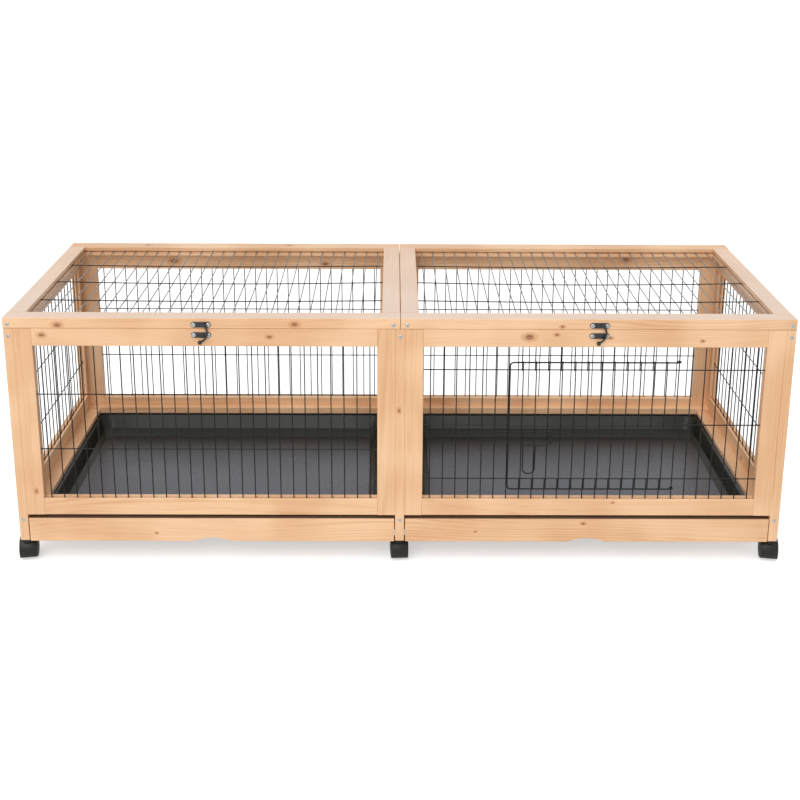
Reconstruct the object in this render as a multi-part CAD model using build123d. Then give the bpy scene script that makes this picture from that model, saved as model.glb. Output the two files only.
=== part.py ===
"""A long rodent cage of pine boards and black welded wire, on six twin-wheel casters.

Three cross frames stand on the casters. Between them are two compartments, each with a front
panel, a rear panel, a hinged lid and a drawer with a sheet tray. The right front panel has a
swinging wire door with a slide bolt.

Millimetres, +Z up. The front faces -Y and the origin is on the floor, under the middle of the
cage. Depths are counted back from the front face of the boards, and depth(d) gives their Y.
"""
import os

from build123d import *

# Overall sizes
WIDTH = 1500.0
DEPTH = 515.0
LATCH_REACH = 10.0  # how far the latch knobs stand out in front of the boards
CASTER_REACH = 17.4  # how far the trailing casters stand out behind them
FRONT = -(DEPTH + CASTER_REACH - LATCH_REACH) / 2

# Boards
BOARD = 18.0  # thickness
RAIL = 35.0  # width of posts, rails and stiles
EASE = 0.8  # chamfer along the edges of a board
ROD_SIDES = 12  # flats on a small round part
WHEEL_SIDES = 20
KNUCKLE_SIDES = 8
FRAME_FOOT = 50.0
FRAME_TOP = 494.0
SIDE_BOARD_BOTTOM = 52.0
SIDE_BOARD_TOP = 150.0
PANEL_BOTTOM = 106.0
REAR_BASE_TOP = 101.0

# Wire grilles
WIRE = 2.2
LAYER = 2.0  # depth of one layer of crossing wires, a little less than the wire, as welds sink
PITCH = 25.0
GROOVE_WIDTH = 4.4
GROOVE_DEPTH = 6.0
GROOVE_FROM_FACE = 5.5  # front and rear panels: groove centre behind the outer face
SIDE_GROOVE_FROM_FACE = 11.0
PANEL_WIRES = 26
SIDE_WIRES = 17
LID_WIRES = 27
SIDE_ROWS = (235.0, 349.0)
FRONT_LEFT_ROWS = (244.0, 358.0)
FRONT_RIGHT_ROWS = (182.5, 296.5, 410.5)
REAR_ROWS = (244.0, 358.0)
LID_ROWS = (134.0, 252.0, 370.0)  # depths

# Lids
LID_BOTTOM = 494.6
LID_TOP = 515.0
LID_GAP = 1.0  # between the two lids

# Drawers
DRAWER_BOTTOM = 48.0
DRAWER_TOP = 98.0
DRAWER_SIDE_GAP = 2.0
NOTCH_WIDTH = 77.0
NOTCH_DEPTH = 8.0
TRAY_SHEET = 2.0
TRAY_RIM_TOP = 104.0
TRAY_LIP_BOTTOM = 94.0
TRAY_FLOOR = 72.0
TRAY_KNEE = 80.0  # height where the steep wall meets the sloping foot
TRAY_SIDE_GAP = 22.0  # from the frame to the rim
TRAY_REAR = 490.0  # depth of the rim's rear edge
# insets from the rim's edge at the sides, front and rear, then the height and the corner radius
TRAY_LEVELS = (
    ((10, 10, 10), TRAY_RIM_TOP, 25.0),
    ((22, 22, 32), TRAY_KNEE, 22.0),
    ((34, 34, 60), TRAY_FLOOR, 19.0),
)

# Tray bearers and cover strips
BEARER_DEPTHS = (40.0, 440.0)
SLIDING_GAP = 0.2
STRIP_BOTTOM = 107.0
SIDE_STRIP_WIDTH = 27.0
SIDE_STRIP_HEIGHT = 10.0
REAR_STRIP_WIDTH = 15.0
REAR_STRIP_HEIGHT = 15.0

# Hinges
HINGE_PLACES = (150.0, 600.0)
HINGE_WIDTH = 50.0
HINGE_HEIGHT = LID_BOTTOM - (LID_BOTTOM - FRAME_TOP) / 2
HINGE_STAND = 3.5  # pin centre behind the rear face
KNUCKLE_RADIUS = 3.2
KNUCKLE_GAP = 0.3
PIN_RADIUS = 1.5
PIN_PLAY = 0.06
LEAF_THICKNESS = 1.2
LEAF_REACH = 15.0

# Latches
LATCH_PLACE = 376.6
LATCH_PLATE = (38.0, 11.0, 1.5)
LATCH_UPPER = 502.5
LATCH_LOWER = 482.0
LATCH_PIVOT = (5.7, 503.0)
RIVET_RADIUS = 2.5
HOOK_EYE_RADIUS = 4.6
HOOK_WIDTH = 3.6
HOOK_FRONT = 6.0
HOOK_THICKNESS = 2.0
HOOK_STEPS = 8  # flats along the hook's bend
RIVET_PLAY = 0.1
KNOB_RADIUS = 4.0
KEEPER_OFFSET = 3.0
KEEPER_RADIUS = 3.0
KEEPER_REACH = 3.5

# Wire door
DOOR_HINGE_X = 533.0
DOOR_LEFT = 211.0
DOOR_TOP = 428.0
DOOR_BOTTOM = 166.0
DOORWAY = (208.0, 533.0, 182.5, 410.5)
DOOR_WIRE = 3.0
DOOR_CORNER = 12.0
DOOR_OUTLINE_DEPTH = -0.1  # centre of the outline wire
DOOR_GRILLE_DEPTH = 2.1  # centre of the uprights of the door
DOOR_WIRES = 12
DOOR_FIRST_WIRE = 235.0
DOOR_ROW = 297.0
DOOR_WELD = 0.4  # how far a guide's foot sinks into the door's grille
EYE_DEPTH = 4.6  # about the panel's upright wire
EYE_INNER = 1.9
EYE_OUTER = 4.1

BEND_STEPS = 3  # flats in a bend of the wire

# Slide bolt
BOLT_WIRE = 2.6
BOLT_DEPTH = -3.3
BOLT_RODS = (279.5, 286.5)
BOLT_LEFT = 183.0
BOLT_RIGHT = 291.0
PULL_LEFT = 238.0
PULL_WIDTH = 24.0
PULL_TOP = 258.0
PULL_BOTTOM = 198.0
GUIDE_PLACES = (DOOR_LEFT, 285.0)
GUIDE_WALL = 2.0
GUIDE_PLAY = 0.1

# Casters
CASTER_ROWS = {"front": RAIL / 2, "rear": DEPTH - RAIL / 2}
CASTER_COLUMNS = {"left": -(WIDTH - BOARD) / 2, "middle": 0.0, "right": (WIDTH - BOARD) / 2}
CASTER_TURNS = {"left": 10.0, "middle": 3.0, "right": -10.0}
TRAIL = 9.0
WHEEL_RADIUS = 20.0
WHEEL_WIDTH = 12.0
WHEEL_DOME = 1.5
WHEELS_APART = 10.0
AXLE_RADIUS = 3.0
AXLE_PLAY = 0.05
HOOD_RADIUS = 23.5
HOOD_WALL = 2.5
HOOD_WIDTH = 34.0
WEB = 9.0
HOOD_CUT = 8.0  # distance of the hood's lower edge below the axle
HOOD_SLANT = 25.0
NECK_RADIUS = 8.0
WHEEL_FLAT = 180.0 / WHEEL_SIDES  # turns the wheel onto a flat
STEM_RADIUS = 4.0
STEM_PLAY = 0.05
STEM_LENGTH = 30.0
STEM_GAP = 0.3

# Screws
SCREW_RADIUS = 4.0
SCREW_HEAD = 1.6
FRAME_SCREW_HEIGHTS = (479.0, 95.0)
LID_SCREW_HEIGHT = 502.5
LATCH_SCREW_OFFSET = 14.0

HALF = WIDTH / 2
INNER = BOARD / 2  # from the middle plane to a compartment
OUTER = HALF - BOARD  # far side of a compartment
CENTRE = (INNER + OUTER) / 2
MIRROR = Plane.YZ


def depth(distance):
    """The Y of a point this far behind the front face of the boards."""
    return FRONT + distance


def block(x, y, z):
    """A box between two values on each axis; y is given as two depths."""
    size = (x[1] - x[0], y[1] - y[0], z[1] - z[0])
    middle = ((x[0] + x[1]) / 2, depth((y[0] + y[1]) / 2), (z[0] + z[1]) / 2)
    return Pos(*middle) * Box(*size)


def board(x, y, z):
    """A planed board with its long edges eased."""
    piece = block(x, y, z)
    lengths = {Axis.X: x[1] - x[0], Axis.Y: y[1] - y[0], Axis.Z: z[1] - z[0]}
    grain = max(lengths, key=lengths.get)
    return chamfer(piece.edges().filter_by(grain), EASE)


def rod(radius, length, sides=ROD_SIDES):
    """A round bar along Z, drawn with flats whose corners lie on the radius."""
    return Pos(0, 0, -length / 2) * extrude(RegularPolygon(radius, sides), length)


def bore(radius, length, sides=ROD_SIDES):
    """A round hole along Z, drawn with flats that lie outside the radius, so that a rod turns in it."""
    return Pos(0, 0, -length / 2) * extrude(RegularPolygon(radius, sides, major_radius=False), length)


def spread(count, middle):
    """Evenly pitched wire places about a middle."""
    return [middle + PITCH * (i - (count - 1) / 2) for i in range(count)]


def save(name, pieces):
    """Write one node, each piece as a solid of its own."""
    solids = [solid for piece in pieces for solid in piece.solids()]
    export_step(Compound(solids), f"parts/{name}.step")


def runs(low, high, gap):
    """A wire from low to high, interrupted by a gap; its cut ends reach the wires round it."""
    if gap is None:
        return [(low, high)]
    return [(low, gap[0] + WIRE / 2), (gap[1] - WIRE / 2, high)]


def grille(uprights, rows, across, up, rows_side=1, doorway=None):
    """A welded wire grille in its own plane: X across, Z up, Y through it.

    The uprights are one layer and the rows the other, and they are joined where they meet flat
    at every crossing. rows_side is the side, along Y, that the rows lie on.
    """
    layer = rows_side * LAYER / 2
    wires = []
    for u in uprights:
        crossed = doorway and doorway[0] < u < doorway[1]
        for low, high in runs(*up, doorway[2:] if crossed else None):
            wires.append(Pos(u, -layer, (low + high) / 2) * Box(WIRE, LAYER, high - low))
    for v in rows:
        crossed = doorway and doorway[2] < v < doorway[3]
        for left, right in runs(*across, doorway[:2] if crossed else None):
            wires.append(Pos((left + right) / 2, layer, v) * Box(right - left, LAYER, WIRE))
    return Part() + wires


def framed(rails, stiles, across, up, place, **wires):
    """Cut the groove of one panel into its boards and return them with the grille that fills it.

    across and up are the clear opening in the plane of the panel, and place moves that plane
    to where the panel stands.
    """
    size = (across[1] - across[0] + 2 * GROOVE_DEPTH, up[1] - up[0] + 2 * GROOVE_DEPTH)
    middle = Pos((across[0] + across[1]) / 2, 0, (up[0] + up[1]) / 2)
    groove = place * middle * Box(size[0], GROOVE_WIDTH, size[1])
    spans = [(span[0] - GROOVE_DEPTH, span[1] + GROOVE_DEPTH) for span in (across, up)]
    mesh = place * grille(across=spans[0], up=spans[1], **wires)
    return [rail - groove for rail in rails], [stile - groove for stile in stiles], [mesh]


def cross_frame(x, groove_x):
    """Posts, rails and grille of one cross frame whose boards span x."""
    socket_radius = STEM_RADIUS + STEM_PLAY
    posts = []
    for y in ((0, RAIL), (DEPTH - RAIL, DEPTH)):
        post = board(x, y, (FRAME_FOOT, FRAME_TOP))
        foot = Pos((x[0] + x[1]) / 2, depth((y[0] + y[1]) / 2), FRAME_FOOT)
        posts.append(post - foot * bore(socket_radius, 2 * STEM_LENGTH))
    span = (RAIL, DEPTH - RAIL)
    rails = [
        board(x, span, (FRAME_TOP - RAIL, FRAME_TOP)),
        board(x, span, (SIDE_BOARD_BOTTOM, SIDE_BOARD_TOP)),
    ]
    turn = -90 if groove_x < 0 else 90
    half_span = (span[1] - span[0]) / 2
    middle_y = depth(DEPTH / 2)
    return framed(
        rails,
        posts,
        across=(-half_span, half_span),
        up=(SIDE_BOARD_TOP, FRAME_TOP - RAIL),
        place=Pos(groove_x, middle_y, 0) * Rot(0, 0, turn),
        uprights=spread(SIDE_WIRES, 0),
        rows=SIDE_ROWS,
    )


def panel(side, y, groove_y, rows, turn, doorway=None):
    """Stiles, rails and grille of a front or rear panel; side is -1 for left, 1 for right."""
    opening = (INNER + RAIL, OUTER - RAIL)
    up = (PANEL_BOTTOM + RAIL, FRAME_TOP - RAIL)

    def placed(low, high):
        return tuple(sorted((side * low, side * high)))

    stiles = [
        board(placed(INNER, INNER + RAIL), y, (PANEL_BOTTOM, FRAME_TOP)),
        board(placed(OUTER - RAIL, OUTER), y, (PANEL_BOTTOM, FRAME_TOP)),
    ]
    rails = [
        board(placed(*opening), y, (PANEL_BOTTOM, PANEL_BOTTOM + RAIL)),
        board(placed(*opening), y, (FRAME_TOP - RAIL, FRAME_TOP)),
    ]
    if turn:
        place = Pos(2 * side * CENTRE, depth(groove_y), 0) * Rot(0, 0, 180)
    else:
        place = Pos(0, depth(groove_y), 0)
    return framed(
        rails,
        stiles,
        across=placed(*opening),
        up=up,
        place=place,
        uprights=spread(PANEL_WIRES, side * CENTRE),
        rows=rows,
        doorway=doorway,
    )


def lid(side):
    """Cross rails, side rails and grille of one lid, closed; side is -1 for left, 1 for right."""
    near = LID_GAP / 2
    far = HALF
    z = (LID_BOTTOM, LID_TOP)

    def placed(low, high):
        return tuple(sorted((side * low, side * high)))

    cross = [
        board(placed(near, far), (0, RAIL), z),
        board(placed(near, far), (DEPTH - RAIL, DEPTH), z),
    ]
    sides = [
        board(placed(near, near + RAIL), (RAIL, DEPTH - RAIL), z),
        board(placed(far - RAIL, far), (RAIL, DEPTH - RAIL), z),
    ]
    groove_z = (LID_BOTTOM + LID_TOP) / 2
    # the plane of the grille lies flat: its up axis points to the rear and its rows lie on top
    rails, stiles, mesh = framed(
        cross,
        sides,
        across=placed(near + RAIL, far - RAIL),
        up=(RAIL, DEPTH - RAIL),
        place=Pos(0, FRONT, groove_z) * Rot(-90, 0, 0),
        uprights=spread(LID_WIRES, side * (near + far) / 2),
        rows=LID_ROWS,
        rows_side=-1,
    )
    return rails, stiles, mesh


def drawer_front(side):
    """The drawer's front board, with a shallow finger notch in the middle of its lower edge."""
    x = tuple(sorted((side * (INNER + DRAWER_SIDE_GAP), side * (OUTER - DRAWER_SIDE_GAP))))
    front = board(x, (0, BOARD), (DRAWER_BOTTOM, DRAWER_TOP))
    radius = (NOTCH_WIDTH**2 / 4 + NOTCH_DEPTH**2) / (2 * NOTCH_DEPTH)
    centre = Pos(sum(x) / 2, depth(BOARD / 2), DRAWER_BOTTOM + NOTCH_DEPTH - radius)
    return front - centre * Rot(90, 0, 0) * Cylinder(radius, 2 * BOARD)


def tray(side):
    """A sheet tray: rolled rim, steep walls, sloping foot and a flat floor."""
    rim_x = (INNER + TRAY_SIDE_GAP, OUTER - TRAY_SIDE_GAP)
    rim_y = (BOARD, TRAY_REAR)

    def outline(inset_x, inset_front, inset_rear, z, corner):
        x = (rim_x[0] + inset_x, rim_x[1] - inset_x)
        y = (rim_y[0] + inset_front, rim_y[1] - inset_rear)
        middle = Pos(side * sum(x) / 2, depth(sum(y) / 2), z)
        return middle * RectangleRounded(x[1] - x[0], y[1] - y[0], corner)

    def bowl(sheet):
        """The tray's hollow, or its outside when sheet is the thickness of the metal."""
        levels = [
            outline(*[inset - sheet for inset in insets], z - sheet, corner)
            for insets, z, corner in TRAY_LEVELS
        ]
        return loft(levels[:2], ruled=True) + loft(levels[1:], ruled=True)

    middle_x = side * sum(rim_x) / 2
    middle = Pos(middle_x, depth(sum(rim_y) / 2), (TRAY_RIM_TOP + TRAY_LIP_BOTTOM) / 2)
    size = (rim_x[1] - rim_x[0], rim_y[1] - rim_y[0], TRAY_RIM_TOP - TRAY_LIP_BOTTOM)
    sheet = TRAY_SHEET
    under = Pos(0, 0, -sheet) * Box(size[0] - 2 * sheet, size[1] - 2 * sheet, size[2])
    return middle * (Box(*size) - under) + bowl(sheet) - bowl(0)


def compartment_boards():
    """Bearers, cover strips and rear base boards of the right compartment."""
    x = (INNER, OUTER)
    bearer_top = TRAY_FLOOR - TRAY_SHEET - SLIDING_GAP
    bearers = [board(x, (y, y + RAIL), (bearer_top - BOARD, bearer_top)) for y in BEARER_DEPTHS]
    rear = DEPTH - BOARD
    z = (STRIP_BOTTOM, STRIP_BOTTOM + SIDE_STRIP_HEIGHT)
    side_strips = [
        board((INNER, INNER + SIDE_STRIP_WIDTH), (BOARD, rear - REAR_STRIP_WIDTH), z),
        board((OUTER - SIDE_STRIP_WIDTH, OUTER), (BOARD, rear - REAR_STRIP_WIDTH), z),
    ]
    rear_z = (STRIP_BOTTOM, STRIP_BOTTOM + REAR_STRIP_HEIGHT)
    rear_strips = [board(x, (rear - REAR_STRIP_WIDTH, rear), rear_z)]
    base = [board(x, (rear, DEPTH), (SIDE_BOARD_BOTTOM, REAR_BASE_TOP))]
    return bearers, side_strips, rear_strips, base


def hinge_half(x, thirds, up, bored):
    """One leaf of a butt hinge at x, with knuckles on the given thirds of its width.

    up is 1 for the leaf above the pin, -1 for the leaf below it.
    """
    third = HINGE_WIDTH / 3
    clear = KNUCKLE_RADIUS + KNUCKLE_GAP
    face = DEPTH
    pieces = []
    far = clear + LEAF_REACH - KNUCKLE_RADIUS
    tall = sorted((HINGE_HEIGHT + up * clear, HINGE_HEIGHT + up * far))
    leaf_x = (x - HINGE_WIDTH / 2, x + HINGE_WIDTH / 2)
    pieces.append(block(leaf_x, (face, face + LEAF_THICKNESS), tall))
    for i in thirds:
        middle = x + third * (i - 1)
        span = (middle - third / 2 + KNUCKLE_GAP / 2, middle + third / 2 - KNUCKLE_GAP / 2)
        inner_edge = HINGE_HEIGHT + up * (LID_BOTTOM - FRAME_TOP) / 2
        tab = sorted((inner_edge, HINGE_HEIGHT + up * clear))
        pieces.append(block(span, (face, face + LEAF_THICKNESS), tab))
        axis = Pos(middle, depth(face + HINGE_STAND), HINGE_HEIGHT) * Rot(0, 90, 0)
        pieces.append(axis * rod(KNUCKLE_RADIUS, span[1] - span[0], KNUCKLE_SIDES))
    leaf = Part() + pieces
    pin = Pos(x, depth(face + HINGE_STAND), HINGE_HEIGHT) * Rot(0, 90, 0)
    if bored:
        return leaf - pin * bore(PIN_RADIUS + PIN_PLAY, HINGE_WIDTH, KNUCKLE_SIDES)
    return leaf + pin * rod(PIN_RADIUS, HINGE_WIDTH, KNUCKLE_SIDES)


def fixed_leaf(x):
    """The frame's leaf, with the two outer knuckles and the pin."""
    return hinge_half(x, (0, 2), -1, bored=False)


def moving_leaf(x):
    """The lid's leaf, with the middle knuckle."""
    return hinge_half(x, (1,), 1, bored=True)


def front_disc(x, z, radius, out, back=0.0, shape=rod):
    """A round stud on the front, from out to back millimetres in front of the boards."""
    place = Pos(x, depth(-(out + back) / 2), z) * Rot(90, 0, 0)
    return place * shape(radius, out - back)


def latch_plate(x, z):
    """A flat plate with round ends, against the front of the boards."""
    length, height, thickness = LATCH_PLATE
    radius = height / 2
    straight = length / 2 - radius
    plate = block((x - straight, x + straight), (-thickness, 0), (z - radius, z + radius))
    for end in (x - straight, x + straight):
        plate += front_disc(end, z, radius, thickness)
    return plate


def upper_latch(x):
    """The lid's plate with the headed rivet that the hook turns on."""
    pivot_x = x + LATCH_PIVOT[0]
    pivot_z = LATCH_PIVOT[1]
    rivet = front_disc(pivot_x, pivot_z, RIVET_RADIUS, HOOK_FRONT + KNUCKLE_GAP, 0.5)
    head = front_disc(pivot_x, pivot_z, HOOK_EYE_RADIUS - 1, HOOK_FRONT + 1.3, HOOK_FRONT + 0.2)
    return latch_plate(x, LATCH_UPPER) + rivet + head


def keeper(x):
    """The frame's plate with its low dome, which the hook lies over."""
    dome = front_disc(x + KEEPER_OFFSET, LATCH_LOWER, KEEPER_RADIUS, KEEPER_REACH, 0.5)
    return latch_plate(x, LATCH_LOWER) + dome


def hook(x):
    """A flat hook: an eye, an arm that bows to the right and a round knob at its end."""
    eye = Vector(x + LATCH_PIVOT[0], 0, LATCH_PIVOT[1])
    bow = Vector(x + 12.0, 0, 490.0)
    knob = Vector(x - 2.0, 0, 469.0)
    bend = ThreePointArc(eye, bow, knob)
    inner = HOOK_FRONT - HOOK_THICKNESS
    along = [bend @ (i / HOOK_STEPS) for i in range(HOOK_STEPS + 1)]
    outward = [(point - bend.arc_center).normalized() * (HOOK_WIDTH / 2) for point in along]
    outer_edge = [point + step for point, step in zip(along, outward)]
    inner_edge = [point - step for point, step in zip(along, outward)]
    outline = make_face(Polyline(*outer_edge, *reversed(inner_edge), close=True))
    arm = Pos(0, depth(-inner), 0) * extrude(outline, HOOK_THICKNESS, dir=(0, -1, 0))
    piece = arm + front_disc(eye.X, eye.Z, HOOK_EYE_RADIUS, HOOK_FRONT, inner)
    piece += front_disc(knob.X, knob.Z, KNOB_RADIUS, LATCH_REACH, inner)
    return piece - front_disc(eye.X, eye.Z, RIVET_RADIUS + RIVET_PLAY, HOOK_FRONT + 1, inner - 1, bore)


def wire_along(points, diameter, d, corner=None):
    """A round wire, drawn with eight sides, through points (x, z) in a plane at depth d.

    Its corners are bent to the corner radius in a few flats.
    """
    corners = [(x, depth(d), z) for x, z in points]
    if len(corners) == 2:
        path = Line(*corners)
    else:
        smooth = FilletPolyline(*corners, radius=corner)
        stops = []
        for edge in smooth.edges():
            steps = BEND_STEPS if edge.geom_type == GeomType.CIRCLE else 1
            stops += [edge @ (i / steps) for i in range(steps)]
        path = Polyline(*stops, smooth @ 1)
    section = Plane(origin=path @ 0, x_dir=(0, 1, 0), z_dir=path % 0)
    outline = section * Rot(0, 0, 22.5) * RegularPolygon(diameter / 2, 8)
    return sweep(outline, path=path, transition=Transition.RIGHT)


def bolt_guide(x):
    """A flat loop that holds both rods of the bolt and stands on the door."""
    tall = BOLT_RODS[1] - BOLT_RODS[0] + BOLT_WIRE + 2 * GUIDE_PLAY
    wide = BOLT_WIRE + 2 * GUIDE_PLAY
    middle = sum(BOLT_RODS) / 2
    place = Pos(x, depth(BOLT_DEPTH), middle)
    loop = Box(DOOR_WIRE, wide + 2 * GUIDE_WALL, tall + 2 * GUIDE_WALL)
    loop = chamfer(loop.edges().filter_by(Axis.X), GUIDE_WALL) - Box(DOOR_WIRE, wide, tall)
    foot_y = (BOLT_DEPTH + wide / 2 + GUIDE_WALL / 2, DOOR_GRILLE_DEPTH - WIRE / 2 + DOOR_WELD)
    foot = block((x - DOOR_WIRE / 2, x + DOOR_WIRE / 2), foot_y, (middle - 2, middle + 2))
    return place * loop + foot


def wire_door():
    """The door: a C of thick wire, its own grille, two hinge eyes and two bolt guides."""
    outline = wire_along(
        [
            (DOOR_HINGE_X, DOOR_TOP),
            (DOOR_LEFT, DOOR_TOP),
            (DOOR_LEFT, DOOR_BOTTOM),
            (DOOR_HINGE_X, DOOR_BOTTOM),
        ],
        DOOR_WIRE,
        DOOR_OUTLINE_DEPTH,
        DOOR_CORNER,
    )
    pieces = [outline]
    for i in range(DOOR_WIRES):
        x = DOOR_FIRST_WIRE + PITCH * i
        span = (x - WIRE / 2, x + WIRE / 2)
        y = (DOOR_GRILLE_DEPTH - WIRE / 2, DOOR_GRILLE_DEPTH + WIRE / 2)
        pieces.append(block(span, y, (DOOR_BOTTOM - DOOR_WIRE / 2, DOOR_TOP + DOOR_WIRE / 2)))
    last = DOOR_FIRST_WIRE + PITCH * (DOOR_WIRES - 1)
    row_y = (DOOR_GRILLE_DEPTH - WIRE / 2 - LAYER, DOOR_GRILLE_DEPTH - WIRE / 2)
    pieces.append(block((DOOR_LEFT, last + WIRE / 2), row_y, (DOOR_ROW - WIRE / 2, DOOR_ROW + WIRE / 2)))
    for z in (DOOR_TOP, DOOR_BOTTOM):
        eye = Pos(DOOR_HINGE_X, depth(EYE_DEPTH), z)
        pieces.append(eye * (rod(EYE_OUTER, DOOR_WIRE) - bore(EYE_INNER, DOOR_WIRE)))
    pieces += [bolt_guide(x) for x in GUIDE_PLACES]
    return Part() + pieces


def bolt():
    """Two joined rods with a yoke below them and a long pull loop."""
    def wire(points, corner=None):
        return wire_along(points, BOLT_WIRE, BOLT_DEPTH, corner)

    top = BOLT_RODS[1]
    rods = [wire([(BOLT_LEFT, z), (BOLT_RIGHT, z)]) for z in BOLT_RODS]
    yoke = [
        wire([(PULL_LEFT, top), (PULL_LEFT, PULL_TOP)]),
        wire([(BOLT_RIGHT, top), (BOLT_RIGHT, PULL_TOP)]),
        wire([(PULL_LEFT, PULL_TOP), (BOLT_RIGHT, PULL_TOP)]),
    ]
    right = PULL_LEFT + PULL_WIDTH
    loop = wire(
        [(PULL_LEFT, PULL_TOP), (PULL_LEFT, PULL_BOTTOM), (right, PULL_BOTTOM), (right, PULL_TOP)],
        PULL_WIDTH / 2 - 0.5,
    )
    return Part() + rods + yoke + [loop]


def caster_fork():
    """A hood round the fronts and tops of two wheels, with a web between them, a neck and a stem."""
    axle = Pos(0, TRAIL, WHEEL_RADIUS) * Rot(0, 90, 0)
    neck_top = FRAME_FOOT - STEM_GAP
    neck = Pos(0, 0, (WHEEL_RADIUS + neck_top) / 2) * rod(NECK_RADIUS, neck_top - WHEEL_RADIUS)
    body = axle * rod(HOOD_RADIUS, HOOD_WIDTH, WHEEL_SIDES) + neck
    pocket = HOOD_WIDTH / 2
    for side in (-1, 1):
        place = axle * Pos(0, 0, side * (WEB + pocket) / 2)
        body -= place * bore(HOOD_RADIUS - HOOD_WALL, pocket, WHEEL_SIDES)
    # below the hood's slanting lower edge only the hub of the web is left
    below = Pos(0, 0, -HOOD_CUT - 2 * HOOD_RADIUS) * Box(2 * HOOD_WIDTH, 4 * HOOD_RADIUS, 4 * HOOD_RADIUS)
    body -= Pos(0, TRAIL, WHEEL_RADIUS) * Rot(HOOD_SLANT, 0, 0) * below
    body += axle * rod(2 * AXLE_RADIUS, WEB)
    body += Pos(0, 0, neck_top + STEM_LENGTH / 2) * rod(STEM_RADIUS, STEM_LENGTH)
    return body - axle * bore(AXLE_RADIUS + AXLE_PLAY, WEB)


def caster_wheels():
    """Two wheels with tapered outer faces, fast on one axle."""
    half = WHEELS_APART / 2
    outline = RegularPolygon(WHEEL_RADIUS, WHEEL_SIDES, major_radius=False)
    wheel = Pos(0, 0, half) * extrude(outline, WHEEL_WIDTH + WHEEL_DOME)
    face = wheel.faces().sort_by(Axis.Z)[-1]
    wheel = chamfer(face.edges(), WHEEL_DOME, 2 * WHEEL_DOME, reference=face)
    pair = wheel + mirror(wheel, Plane.XY) + rod(AXLE_RADIUS, WHEELS_APART)
    return Pos(0, TRAIL, WHEEL_RADIUS) * Rot(0, 90, 0) * Rot(0, 0, WHEEL_FLAT) * pair


def screw(x, d, z):
    """A screw head on the front or the rear face."""
    place = Pos(x, depth(d), z) * Rot(90 if d < DEPTH / 2 else -90, 0, 0)
    return extrude(place * RegularPolygon(SCREW_RADIUS, 8), SCREW_HEAD)


def write_frames():
    middle = BOARD / 2
    places = {
        "left": ((-HALF, -HALF + BOARD), -HALF + SIDE_GROOVE_FROM_FACE),
        "middle": ((-middle, middle), 0.0),
        "right": ((HALF - BOARD, HALF), HALF - SIDE_GROOVE_FROM_FACE),
    }
    for name, (x, groove_x) in places.items():
        rails, posts, mesh = cross_frame(x, groove_x)
        save(f"frame_{name}_posts", posts)
        save(f"frame_{name}_rails", rails)
        save(f"frame_{name}_mesh", mesh)


def write_panels():
    front = (0, BOARD)
    rear = (DEPTH - BOARD, DEPTH)
    kinds = {
        "front_left": (-1, front, GROOVE_FROM_FACE, FRONT_LEFT_ROWS, False, None),
        "front_right": (1, front, GROOVE_FROM_FACE, FRONT_RIGHT_ROWS, False, DOORWAY),
        "rear_left": (-1, rear, DEPTH - GROOVE_FROM_FACE, REAR_ROWS, True, None),
        "rear_right": (1, rear, DEPTH - GROOVE_FROM_FACE, REAR_ROWS, True, None),
    }
    for name, values in kinds.items():
        rails, stiles, mesh = panel(*values)
        save(f"{name}_rails", rails)
        save(f"{name}_stiles", stiles)
        save(f"{name}_mesh", mesh)


def write_lids():
    for name, side in (("left", -1), ("right", 1)):
        rails, stiles, mesh = lid(side)
        save(f"lid_{name}_cross_rails", rails)
        save(f"lid_{name}_side_rails", stiles)
        save(f"lid_{name}_mesh", mesh)
        save(f"hinge_leaves_{name}", [moving_leaf(side * x) for x in HINGE_PLACES])
        save(f"latch_plate_{name}", [upper_latch(side * LATCH_PLACE)])
        save(f"latch_hook_{name}", [hook(side * LATCH_PLACE)])
        near = INNER + SCREW_RADIUS + 0.4
        corners = [(x, d) for x in (near, HALF - BOARD / 2) for d in (0, DEPTH)]
        screws = [screw(side * x, d, LID_SCREW_HEIGHT) for x, d in corners]
        for offset in (-LATCH_SCREW_OFFSET, LATCH_SCREW_OFFSET):
            place = screw(side * LATCH_PLACE + offset, -LATCH_PLATE[2], LATCH_UPPER)
            screws.append(place)
        save(f"lid_{name}_screws", screws)
    save("hinge_fixed_leaves", [fixed_leaf(side * x) for side in (-1, 1) for x in HINGE_PLACES])
    save("latch_keepers", [keeper(side * LATCH_PLACE) for side in (-1, 1)])


def write_drawers():
    for name, side in (("left", -1), ("right", 1)):
        save(f"drawer_{name}_front", [drawer_front(side)])
        save(f"drawer_{name}_tray", [tray(side)])
    names = ("tray_bearers", "tray_side_strips", "tray_rear_strips", "rear_base_boards")
    for name, boards in zip(names, compartment_boards()):
        save(name, boards + [mirror(piece, MIRROR) for piece in boards])


def write_door():
    save("door_wire", [wire_door()])
    save("door_bolt", [bolt()])


def write_casters():
    fork = caster_fork()
    wheels = caster_wheels()
    for column, x in CASTER_COLUMNS.items():
        for row, d in CASTER_ROWS.items():
            place = Pos(x, depth(d), 0) * Rot(0, 0, CASTER_TURNS[column])
            save(f"caster_{column}_{row}_fork", [place * fork])
            save(f"caster_{column}_{row}_wheels", [place * wheels])


def write_frame_screws():
    screws = []
    for x in CASTER_COLUMNS.values():
        for z in FRAME_SCREW_HEIGHTS:
            screws += [screw(x, d, z) for d in (0, DEPTH)]
    for side in (-1, 1):
        for offset in (-LATCH_SCREW_OFFSET, LATCH_SCREW_OFFSET):
            screws.append(screw(side * LATCH_PLACE + offset, -LATCH_PLATE[2], LATCH_LOWER))
    save("frame_screws", screws)


os.makedirs("parts", exist_ok=True)
write_frames()
write_panels()
write_lids()
write_drawers()
write_door()
write_casters()
write_frame_screws()
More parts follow.
